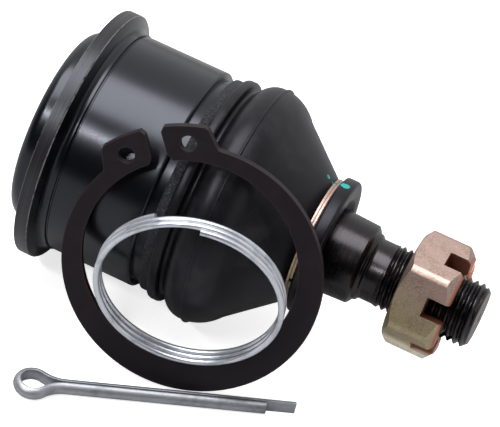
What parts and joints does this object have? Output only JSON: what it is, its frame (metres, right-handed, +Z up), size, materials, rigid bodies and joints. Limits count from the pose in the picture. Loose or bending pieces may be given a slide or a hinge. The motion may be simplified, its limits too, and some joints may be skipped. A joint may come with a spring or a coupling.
{
  "type": "suspension ball joint",
  "caption": "Press-in suspension ball joint lying on its side with dust boot, slotted nut and, loose in front of it, its snap ring, boot retaining ring and split pin",
  "frame": {"origin": "on the joint's axis, in the middle of the housing's press seat", "axes": "+X runs towards the stud's tip along the joint, which droops about two degrees; +Z is up from the surface it lies on; the loose pieces lie on the -Y side"},
  "size_m": [0.0995, 0.0778, 0.0568],
  "materials": {
    "black_steel": "semi-gloss black over turned steel",
    "stud_steel": "glossy black oxide",
    "spring_steel": "plain spring steel",
    "phosphated_steel": "satin dark phosphate",
    "galvanized_steel": "bright zinc on steel",
    "yellow_zinc": "yellow chromate over zinc",
    "boot_rubber": "matt black rubber",
    "bearing_plastic": "natural acetal"
  },
  "bodies": {
    "housing_body": {"housing": "black_steel", "end_cap": "black_steel", "preload_spring": "spring_steel", "rear_bearing": "bearing_plastic", "front_bearing": "bearing_plastic"},
    "boot_body": {"dust_boot": "boot_rubber"},
    "clip_body": {"boot_clip": "yellow_zinc"},
    "stud_body": {"ball_stud": "stud_steel"},
    "nut_body": {"castle_nut": "yellow_zinc"},
    "snap_ring_body": {"snap_ring": "phosphated_steel"},
    "retaining_ring_body": {"boot_retaining_ring": "galvanized_steel"},
    "split_pin_body": {"split_pin": "galvanized_steel"}
  },
  "joints": [
    {"name": "swing_direction", "type": "hinge", "parent": "housing_body", "child": "boot_body", "pos_m": [-0.00285, 0, 0.0001], "axis": [0.9994, 0, -0.0341], "range_deg": [-90, 90]},
    {"name": "swing", "type": "hinge", "parent": "boot_body", "child": "clip_body", "pos_m": [-0.00285, 0, 0.0001], "axis": [0.0341, 0, 0.9994], "range_deg": [0, 22], "deforming": ["dust_boot"]},
    {"name": "stud_spin", "type": "hinge", "parent": "clip_body", "child": "stud_body", "pos_m": [-0.00285, 0, 0.0001], "axis": [0.9994, 0, -0.0341], "continuous": true},
    {"name": "nut_turn", "type": "hinge", "parent": "stud_body", "child": "nut_body", "pos_m": [0.06696, 0, -0.00229], "axis": [0.9994, 0, -0.0341], "continuous": true},
    {"name": "snap_ring_lift", "type": "slide", "parent": "housing_body", "child": "snap_ring_body", "axis": [0, 0, 1], "range_m": [0, 0.08]},
    {"name": "retaining_ring_pull", "type": "slide", "parent": "snap_ring_body", "child": "retaining_ring_body", "axis": [0, -1, 0], "range_m": [0, 0.06]},
    {"name": "split_pin_pull", "type": "slide", "parent": "housing_body", "child": "split_pin_body", "axis": [-0.8957, -0.4446, 0], "range_m": [0, 0.06]}
  ]
}
